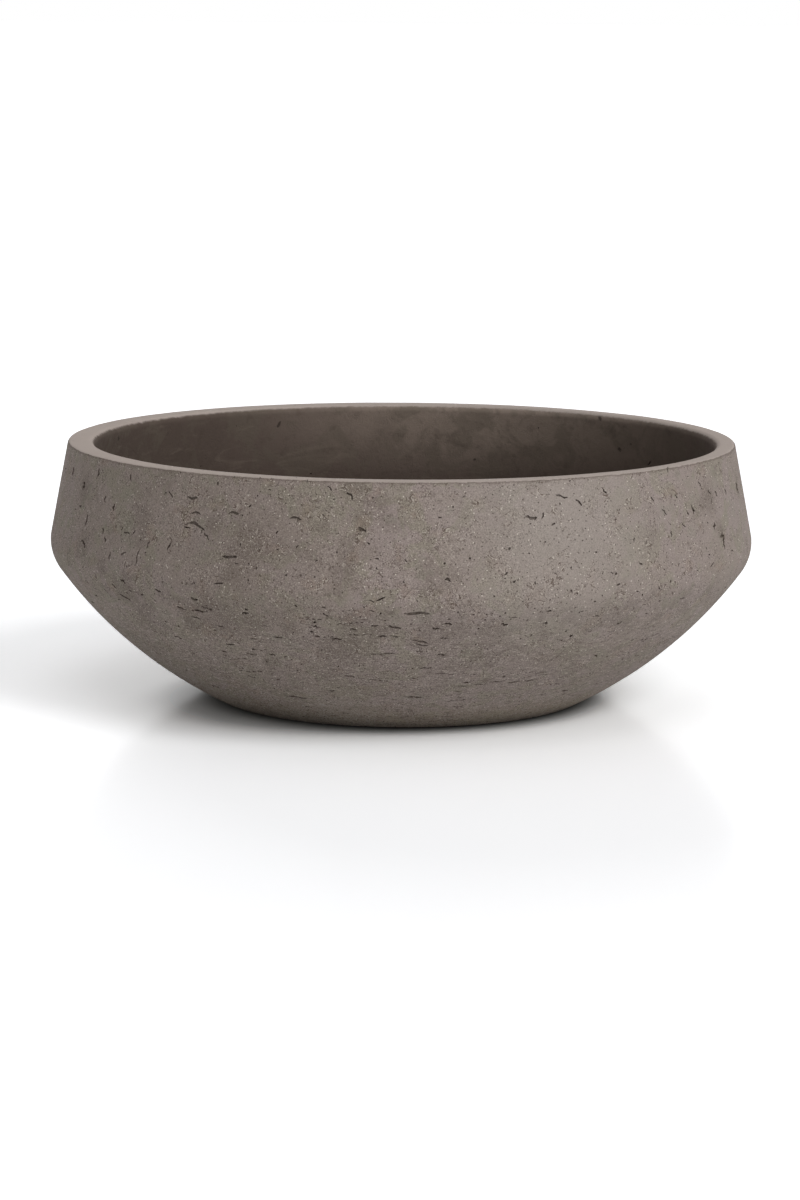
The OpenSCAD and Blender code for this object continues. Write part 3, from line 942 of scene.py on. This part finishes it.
# %% Marks of this bowl, sizes in millimetres
MARKS_AND_PAINTED_LIGHT = [
    (-154, 160, 13, 3, 0.65, CLAY_DARK), (-151, 123, 14, 3, 0.65, CLAY_DARK),
    (-144, 112, 11, 3, 0.65, CLAY_DARK), (-120.5, 150, 9, 2, 0.65, CLAY_DARK),
    (-116.5, 120, 12, 3, 0.65, CLAY_DARK), (-27, 134, 10, 2, 0.65, CLAY_DARK),
    (-114, 141, 20, 5, 0.65, CLAY_DARK), (-100, 70, 26, 6, 0.65, CLAY_DARK),
    # The three rows that reach 50 mm or more are painted light in the lighter tone and painted shade in the
    # darker one
    (-30, 157, 16, 4, 0.65, CLAY_DARK), (-64, 152, 105, 0, 0.9, CLAY_PAINTED_LIGHT),
    (-115, 134, 85, 0, 0.42, CLAY_DARK), (-107, 8, 50, 10, 0.7, CLAY_PAINTED_LIGHT),
]
SHAKE = 8
SHAKE_SPACING = 9


def shaken(tree, place, apart, detail, reach):
    """A place moved by noise, by up to a reach in millimetres along each axis"""
    noise = add(tree, "ShaderNodeTexNoise", spread(place, apart, detail, roughness=0.5)).outputs["Color"]
    return add(tree, "ShaderNodeVectorMath", {
        0: noise, 1: Vector.Fill(3, reach * MM), 2: place,
    }, operation="MULTIPLY_ADD")


torn = shaken(tree, place, SHAKE_SPACING, detail=3, reach=SHAKE)
for bearing, up, reach, core, strength, tone in MARKS_AND_PAINTED_LIGHT:
    # Noise is 0.5 in the middle, so the shaken place is half the shake away
    middle = (on_wall(bearing, up, 0).translation + Vector.Fill(3, SHAKE / 2)) * MM
    away = add(tree, "ShaderNodeVectorMath", {0: torn, 1: middle}, operation="DISTANCE").outputs["Value"]
    colour = stain(tree, colour, tone, (away, reach * MM, core * MM), strength)
print(f"{len(MARKS_AND_PAINTED_LIGHT)} marks set by hand")

# %% [markdown]
# A few shades follow the bowl's form. The sealer lies thicker and greyer on the side towards +X. The belly
# is darker, as painted shade where the wall faces down, and the clay near the foot is lighter and browner,
# as painted light from the floor below. Low on the wall run level streaks, a millimetre thick and 4 to 10
# mm long. They are noise on a place that is four times as high as the real one, which flattens every
# feature.

# %% Broad shades and level streaks
GREY_SIDE = (-20 * MM, 90 * MM)
BELLY_HIGH = (75 * MM, 55 * MM)
BELLY_LOW = (25 * MM, 40 * MM)
FLOOR_BOUNCE_HEIGHTS = (28 * MM, 4 * MM)
LOW_DOWN = (105 * MM, 70 * MM)
FLATTEN = (1, 1, 4)
STREAKS = [(6, 3, 0.7, 0, 0.54, 0.68, 0.9, CLAY_DARK), (6, 3, 0.7, 0, 0.45, 0.30, 0.5, SAND_PALE)]

# A plain number at the end of a stain's parts is its strength
colour = stain(tree, colour, CLAY_GREY, (parts["X"], *GREY_SIDE), 0.15)
# Painted shade on the belly, where the wall faces down
colour = stain(tree, colour, CLAY_DARK, (height, *BELLY_HIGH), (height, *BELLY_LOW), 0.25)
# Painted light near the foot, as from the floor below
colour = stain(tree, colour, FLOOR_BOUNCE_TONE, (height, *FLOOR_BOUNCE_HEIGHTS), 0.5)
flattened = add(tree, "ShaderNodeVectorMath", {0: place, 1: FLATTEN}, operation="MULTIPLY").outputs[0]
low_down = share(tree, (height, *LOW_DOWN))
colour = patched(tree, colour, flattened, STREAKS, low_down)

# %% [markdown]
# Sand grains are half a millimetre wide. Here they are 0.95 mm apart, about twice as coarse as real, so
# that they show in a render of the whole bowl. They crowd in patches and low on the wall, and show less
# under the thicker sealer. Voronoi cells suit what lies apart from its like: dark grains a millimetre wide,
# about 5 mm apart on the surface, and white flecks of lime, under a millimetre wide.

# %% Sand, grains and flecks
SAND_NOISE = (0.95, 1.5, 0.7, 0)
SAND = [(*SAND_NOISE, 0.53, 0.68, 0.68, SAND_DARK), (*SAND_NOISE, 0.46, 0.32, 0.54, SAND_PALE)]
CROWDED = (0.42, 0.62)
THIN_SAND = ramp(0, 1, 0.6, 1.0)
UNDER_SEALER = ramp(20 * MM, 150 * MM, 1.0, 0.65)
# The spacing of the cells in millimetres, where in a cell a grain starts and is full, its strength and its
# tone
GRAINS = [(3.4, 0.17, 0.12, 0.9, SAND_DARK), (3.9, 0.13, 0.08, 0.9, FLECK)]

crowds = add(tree, "ShaderNodeTexNoise", spread(place, apart=26))
sandy = add(tree, "ShaderNodeMath", {0: low_down, 1: share(tree, (crowds, *CROWDED))}, operation="MAXIMUM")
sandy = add(tree, "ShaderNodeMapRange", {"Value": sandy, **THIN_SAND})
covered = add(tree, "ShaderNodeMapRange", {"Value": parts["X"], **UNDER_SEALER})
colour = patched(tree, colour, place, SAND, sandy, covered)
for apart, start, full, strength, tone in GRAINS:
    cells = add(tree, "ShaderNodeTexVoronoi", {"Vector": place, "Scale": size(apart)}, feature="F1")
    colour = stain(tree, colour, tone, (cells.outputs["Distance"], start, full), strength)

# %% [markdown]
# The release film leaves curling marks half a millimetre thick, in patches. A curl has no direction and
# never crosses another, just as the contours of a noise don't, so each mark is drawn where a noise passes a
# level: a dark line, and a pale one along its side.

# %% Curling marks
CURL_LEVEL = 0.50
CURL_WIDTH = 0.020
CURL_EDGE_LEVEL = 0.53
CURL_EDGE_WIDTH = 0.014
CURL_PATCHES = (0.46, 0.55)


def contour(tree, value, level, width):
    """The part of a share that is 1 where a value passes a level, and 0 further away from it than a width"""
    off = add(tree, "ShaderNodeMath", {0: value, 1: level}, operation="SUBTRACT")
    return add(tree, "ShaderNodeMath", {0: off}, operation="ABSOLUTE"), width, width / 3


curls = add(tree, "ShaderNodeTexNoise", spread(place, apart=7, detail=2, twist=1.2))
curl_patches = add(tree, "ShaderNodeTexNoise", spread(place, apart=17))
curled = share(tree, (curl_patches, *CURL_PATCHES))
colour = stain(tree, colour, CURL, contour(tree, curls, CURL_LEVEL, CURL_WIDTH), curled, 0.85)
colour = stain(tree, colour, SAND_PALE, contour(tree, curls, CURL_EDGE_LEVEL, CURL_EDGE_WIDTH), curled, 0.6)

# %% [markdown]
# ## The rubbed rim
# The rim is rubbed level on a stone. That takes the sealer off the flat top, the start of its rounding
# inwards and half of the rounding outwards, and leaves them pale. Their pale tone also holds painted light
# on the top and a painted highlight on the outer rounding. Noise lets the edge of the rubbed part wander.
# Where it meets the cast wall, a thin broken dark line runs along it.

# %% The rubbed rim, sizes in millimetres
RUB_DEPTH = 2.0
RUB_OUTSIDE = 1.3
EDGE_WANDER = 1.6
DEPTH_WANDER = 2.4
EDGE_BLUR = 0.15 * MM
DEPTH_BLUR = 1.0 * MM
DARK_LINE_WIDTH = 0.5 * MM
DARK_LINE_HEIGHTS = (178 * MM, 180 * MM)

level = add(tree, "ShaderNodeVectorMath", {0: place, 1: (1, 1, 0)}, operation="MULTIPLY")
radius = add(tree, "ShaderNodeVectorMath", {0: level}, operation="LENGTH").outputs["Value"]
wander = add(tree, "ShaderNodeTexNoise", spread(place, apart=5, detail=4, roughness=0.7))
edge = add(tree, "ShaderNodeMath", {0: wander, 1: EDGE_WANDER * MM, 2: radius}, operation="MULTIPLY_ADD")
uneven = add(tree, "ShaderNodeMath", {0: wander, 1: DEPTH_WANDER * MM, 2: height}, operation="MULTIPLY_ADD")
rub_radius = (rim_outer[0] + RUB_OUTSIDE + EDGE_WANDER / 2) * MM
rub_height = (HEIGHT - RUB_DEPTH + DEPTH_WANDER / 2) * MM
rubbed_and_lit = (uneven, rub_height - DEPTH_BLUR, rub_height + DEPTH_BLUR)
within = (edge, rub_radius + EDGE_BLUR, rub_radius - EDGE_BLUR)
# The pale top: rubbed clay, with painted light on the top and a painted highlight on the outer rounding
colour = stain(tree, colour, RUBBED_AND_LIT, rubbed_and_lit, within, 0.85)
# A thin broken dark line where the pale top meets the cast wall
dark_line = contour(tree, edge, rub_radius + DARK_LINE_WIDTH, DARK_LINE_WIDTH)
colour = stain(tree, colour, CURL, dark_line, (height, *DARK_LINE_HEIGHTS), 0.4)

# %% [markdown]
# ## The trowelled inside
# The inside was smoothed with a trowel and sealed twice. It has olive and dark blotches, level smears of the
# trowel and a few small damp spots. Its dark base colour is partly its own tone and partly painted shade. A
# broad paler patch on the far side is painted light, and a darker side towards -X is painted shade. It is a
# second colour, which takes over below the rubbed part of the rim.

# %% The trowelled inside
# Dark partly as the inside's own tone and partly as painted shade
TROWELLED = linear("#5d5049")
# Painted light on the inside's far side
INSIDE_PAINTED_LIGHT = linear("#8f8176")
TROWELLED_OLIVE = linear("#655c51")
TROWELLED_DARK = linear("#4e433b")
SMEAR = linear("#85796c")
DAMP = linear("#352c26")
INSIDE_LIGHT_MIDDLE = (85 * MM, 217 * MM, FLATTEN[2] * 174 * MM)
INSIDE_LIGHT_REACH = (240 * MM, 40 * MM)
INSIDE_SHADE_SIDE = (-80 * MM, -210 * MM)
BLOTCHES = [
    (26, 4, 0.6, 0.8, 0.46, 0.60, 0.45, TROWELLED_OLIVE),
    (46, 4, 0.6, 0, 0.50, 0.68, 0.2, TROWELLED_DARK),
    (12, 4, 0.6, 0, 0.54, 0.68, 0.3, TROWELLED_DARK),
]
SMEARS = [(40, 4, 0.6, 0.6, 0.55, 0.75, 0.3, SMEAR)]
DAMP_SPACING = 23
DAMP_SPOT = (0.11, 0.05)
INSIDE_SAND = [(*SAND_NOISE, 0.55, 0.75, 0.25, TROWELLED_DARK)]

# A paler patch on the far side is painted light, and the side towards -X is painted shade
to_inside_light = add(tree, "ShaderNodeVectorMath", {0: flattened, 1: INSIDE_LIGHT_MIDDLE}, operation="DISTANCE")
inner = stain(tree, TROWELLED, INSIDE_PAINTED_LIGHT, (to_inside_light.outputs["Value"], *INSIDE_LIGHT_REACH))
inner = stain(tree, inner, TROWELLED_DARK, (parts["X"], *INSIDE_SHADE_SIDE), 0.5)
inner = patched(tree, inner, place, BLOTCHES)
inner = patched(tree, inner, flattened, SMEARS)
spots = add(tree, "ShaderNodeTexVoronoi", {
    "Vector": shaken(tree, place, apart=5, detail=2, reach=7), "Scale": size(DAMP_SPACING),
}, feature="F1")
inner = stain(tree, inner, DAMP, (spots.outputs["Distance"], *DAMP_SPOT), 0.8)
inner = patched(tree, inner, place, INSIDE_SAND)

zone = add(tree, "ShaderNodeAttribute", attribute_name="zone").outputs["Fac"]
below_rub = (uneven, rub_height + DEPTH_BLUR, rub_height - DEPTH_BLUR)
colour = stain(tree, colour, inner, (zone, RIM + 0.1, RIM + 0.5), below_rub)

# %% [markdown]
# ## Inside the voids, and the skin
# A void is painted dark in its depth, as painted shade, and noise leaves patches of its walls less dark.
# The depth that the cut noted says where the painted shade starts. On the skin, sand stands out a little,
# curls are pressed in, and the whole wall is uneven at about 6 mm. These are too fine for the mesh, so they
# are bumps, each laid on the one before.

# %% Voids, relief and surface
SHADE_BREAKS = ramp(0.62, 0.40, 0.45, 1.0)
DARK_FROM = (0, 0.25 * MM)
PRESSED_WIDTH = 0.03

void = add(tree, "ShaderNodeAttribute", attribute_name="void").outputs["Fac"]
depth = add(tree, "ShaderNodeAttribute", attribute_name="depth").outputs["Fac"]
shade_noise = add(tree, "ShaderNodeTexNoise", spread(place, apart=2.2, detail=2))
shade_breaks = add(tree, "ShaderNodeMapRange", {"Value": shade_noise, **SHADE_BREAKS})
# Painted shade in the voids, from just below the mouth, broken up by noise
colour = stain(tree, colour, VOID_SHADE, void, (depth, *DARK_FROM), shade_breaks)

grain = add(tree, "ShaderNodeTexNoise", spread(place, *SAND_NOISE))
grainy = add(tree, "ShaderNodeBump", {"Height": grain, "Distance": 0.25 * MM, "Strength": 0.5})
pressed = share(tree, contour(tree, curls, CURL_LEVEL, PRESSED_WIDTH), curled)
curly = add(tree, "ShaderNodeBump", {
    "Height": pressed, "Distance": 0.2 * MM, "Strength": 0.6, "Normal": grainy,
}, invert=True)
skin = add(tree, "ShaderNodeTexNoise", spread(place, apart=6, twist=0.4))
relief = add(tree, "ShaderNodeBump", {
    "Height": skin, "Distance": 0.9 * MM, "Strength": 0.5, "Normal": curly,
})
surface = add(tree, "ShaderNodeBsdfPrincipled", {
    "Base Color": colour, "Roughness": 0.86, "IOR": 1.5, "Specular IOR Level": 0.3, "Normal": relief,
})
add(tree, "ShaderNodeOutputMaterial", {"Surface": surface})
print(f"{len(tree.nodes)} nodes in {fiberclay.name}")

# %% [markdown]
# ## Moulded rubber
# The bung is EPDM rubber, pressed in a steel mould: near black, a faint bloom that greys it in patches, and
# a satin sheen from the mould's fine blasting. It stays the frame's own piece, because its shape is right,
# and only its material slots are filled.

# %% The bung's material
RUBBER = linear("#222223")
RUBBER_BLOOM = linear("#34332f")
BLOOM = (0.40, 0.65)

rubber = bpy.data.materials.new("EPDM rubber, moulded")
rubber.use_nodes = True
tree = rubber.node_tree
tree.nodes.clear()
place = add(tree, "ShaderNodeTexCoord").outputs["Object"]
bloom = add(tree, "ShaderNodeTexNoise", spread(place, apart=9, detail=4))
colour = stain(tree, RUBBER, RUBBER_BLOOM, (bloom, *BLOOM))
blasting = add(tree, "ShaderNodeTexNoise", spread(place, apart=0.5, detail=2, roughness=0.5))
relief = add(tree, "ShaderNodeBump", {"Height": blasting, "Distance": 0.05 * MM, "Strength": 0.5})
surface = add(tree, "ShaderNodeBsdfPrincipled", {
    "Base Color": colour, "Roughness": 0.55, "IOR": 1.52, "Normal": relief,
})
add(tree, "ShaderNodeOutputMaterial", {"Surface": surface})

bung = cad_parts["drain_plug"]
for slot in bung.material_slots:
    slot.material = rubber
print(f"{bung.name} has {len(bung.material_slots)} slot of {rubber.name}")

# %% [markdown]
# ## A white floor
# The photograph was taken on a white sweep. The floor is white card with a slight sheen, so it keeps the
# bowl's shadow and a faint reflection. For camera rays alone its white is lifted, so that it meets the
# white of the background without a line, and the lamps stay plain. Round the foot a shadow is painted into
# the card, deepest where the foot stands, with a wider painted shadow on the left, and the reflection is
# painted dimmer near the foot. The card is a little cool, and painted cooler near the bowl, against the
# warm light that the bowl throws on it.

# %% Floor
FLOOR_SIZE = 300
FLOOR_WHITE = 0.92
FLOOR_LIFT = 2.15
FLOOR_SHEEN = 0.22
# The card's painted shadows round the foot, and where its reflection is painted dimmer
CONTACT_MIDDLE = (3 * MM, -8 * MM, 0)
CONTACT_SHADE = (120 * MM, 158 * MM)
SIDE_MIDDLE = (-40 * MM, -24 * MM, 0)
SIDE_SHADE = ramp(110 * MM, 150 * MM, 0.52, 1.0)
DIMMED_REFLECTION = ramp(124 * MM, 175 * MM, 0.6, 1.0)
COOL_WHITE = linear("#fcfdff")
COOL_NEAR = linear("#fafdff")
NEAR = (150 * MM, 300 * MM)

half = FLOOR_SIZE / 2
corners = [(-half, -half, 0), (half, -half, 0), (half, half, 0), (-half, half, 0)]
floor_mesh = bpy.data.meshes.new("floor")
floor_mesh.from_pydata(corners, [], [(0, 1, 2, 3)])
floor = bpy.data.objects.new("floor", floor_mesh)
bpy.context.scene.collection.objects.link(floor)

white_card = bpy.data.materials.new("white card")
white_card.use_nodes = True
tree = white_card.node_tree
tree.nodes.clear()
place = add(tree, "ShaderNodeTexCoord").outputs["Object"]
from_foot, from_side = (
    add(tree, "ShaderNodeVectorMath", {0: place, 1: middle}, operation="DISTANCE").outputs["Value"]
    for middle in (CONTACT_MIDDLE, SIDE_MIDDLE)
)
# The contact shadow and the wider shadow on the left are painted into the card's colour
side = add(tree, "ShaderNodeMapRange", {"Value": from_side, **SIDE_SHADE}, interpolation_type="SMOOTHSTEP")
ray = add(tree, "ShaderNodeLightPath")
seen = add(tree, "ShaderNodeMapRange", {
    "Value": ray.outputs["Is Camera Ray"], "To Min": FLOOR_WHITE, "To Max": FLOOR_WHITE * FLOOR_LIFT,
})
# Painted cooler near the bowl, against the warm light that the bowl throws on the card
cool = stain(tree, COOL_NEAR, COOL_WHITE, (from_foot, *NEAR))
lift_and_painted_shadow = share(tree, (from_foot, *CONTACT_SHADE), side, seen)
cool = add(tree, "ShaderNodeVectorMath", {0: cool, "Scale": lift_and_painted_shadow}, operation="SCALE")
card = add(tree, "ShaderNodeBsdfDiffuse", {"Color": cool})
# The reflection is painted dimmer near the foot
dimmed_reflection = add(tree, "ShaderNodeMapRange", {"Value": from_foot, **DIMMED_REFLECTION})
sheen = add(tree, "ShaderNodeBsdfGlossy", {"Color": dimmed_reflection, "Roughness": 0.16})
surface = add(tree, "ShaderNodeMixShader", {0: FLOOR_SHEEN, 1: card, 2: sheen})
add(tree, "ShaderNodeOutputMaterial", {"Surface": surface})
floor_mesh.materials.append(white_card)
print(f"floor {FLOOR_SIZE} m wide")

# %% [markdown]
# ## Studio light
# A wide softbox stands in front on the right, and its lower half lights the wall below the shoulder. A
# reflector fills the front, the white sweep throws light forward from behind, and an overhead lamp lights
# the rim. Far, wide sun lamps give such light the same strength all over the bowl. The world is dim as a
# light, and white where the camera, a gloss or glass sees it. The sweep's lamp is kept out of the floor's
# reflection.

# %% World and lamps
WORLD_LIGHT = 0.3
LAMP_WIDTH = 30

world = bpy.data.worlds.new("studio")
bpy.context.scene.world = world
world.use_nodes = True
tree = world.node_tree
tree.nodes.clear()
ray = add(tree, "ShaderNodeLightPath")
clear = ray.outputs["Is Camera Ray"]
for other in ("Is Glossy Ray", "Is Transmission Ray"):
    clear = add(tree, "ShaderNodeMath", {0: clear, 1: ray.outputs[other]}, operation="MAXIMUM")
strength = add(tree, "ShaderNodeMapRange", {"Value": clear, "To Min": WORLD_LIGHT, "To Max": 1.0})
sky = add(tree, "ShaderNodeBackground", {"Color": linear("#ffffff"), "Strength": strength})
add(tree, "ShaderNodeOutputWorld", {"Surface": sky})


def lamp(name, azimuth, height, strength):
    """A far, soft lamp, from a direction round the bowl (0 is +X, 90 is behind) and above it, in degrees"""
    data = bpy.data.lights.new(name, "SUN")
    data.energy = strength
    data.angle = math.radians(LAMP_WIDTH)
    made = bpy.data.objects.new(name, data)
    bpy.context.scene.collection.objects.link(made)
    towards = Vector(polar((0, 0), math.cos(math.radians(height)), azimuth)).to_3d()
    towards.z = math.sin(math.radians(height))
    made.matrix_world = towards.to_track_quat("Z", "Y").to_matrix().to_4x4()
    return made


lamp("softbox", azimuth=-45, height=40, strength=0.95)
lamp("low_softbox", azimuth=-45, height=6, strength=0.89)
lamp("reflector", azimuth=-95, height=6, strength=0.21)
sweep = lamp("white_sweep", azimuth=100, height=20, strength=0.73)
sweep.visible_glossy = False
lamp("overhead", azimuth=-95, height=62, strength=0.18)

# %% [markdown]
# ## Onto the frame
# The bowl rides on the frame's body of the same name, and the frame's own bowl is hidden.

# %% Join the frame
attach(bowl, "bowl")
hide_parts("bowl")
bpy.context.scene.view_settings.view_transform = "Standard"
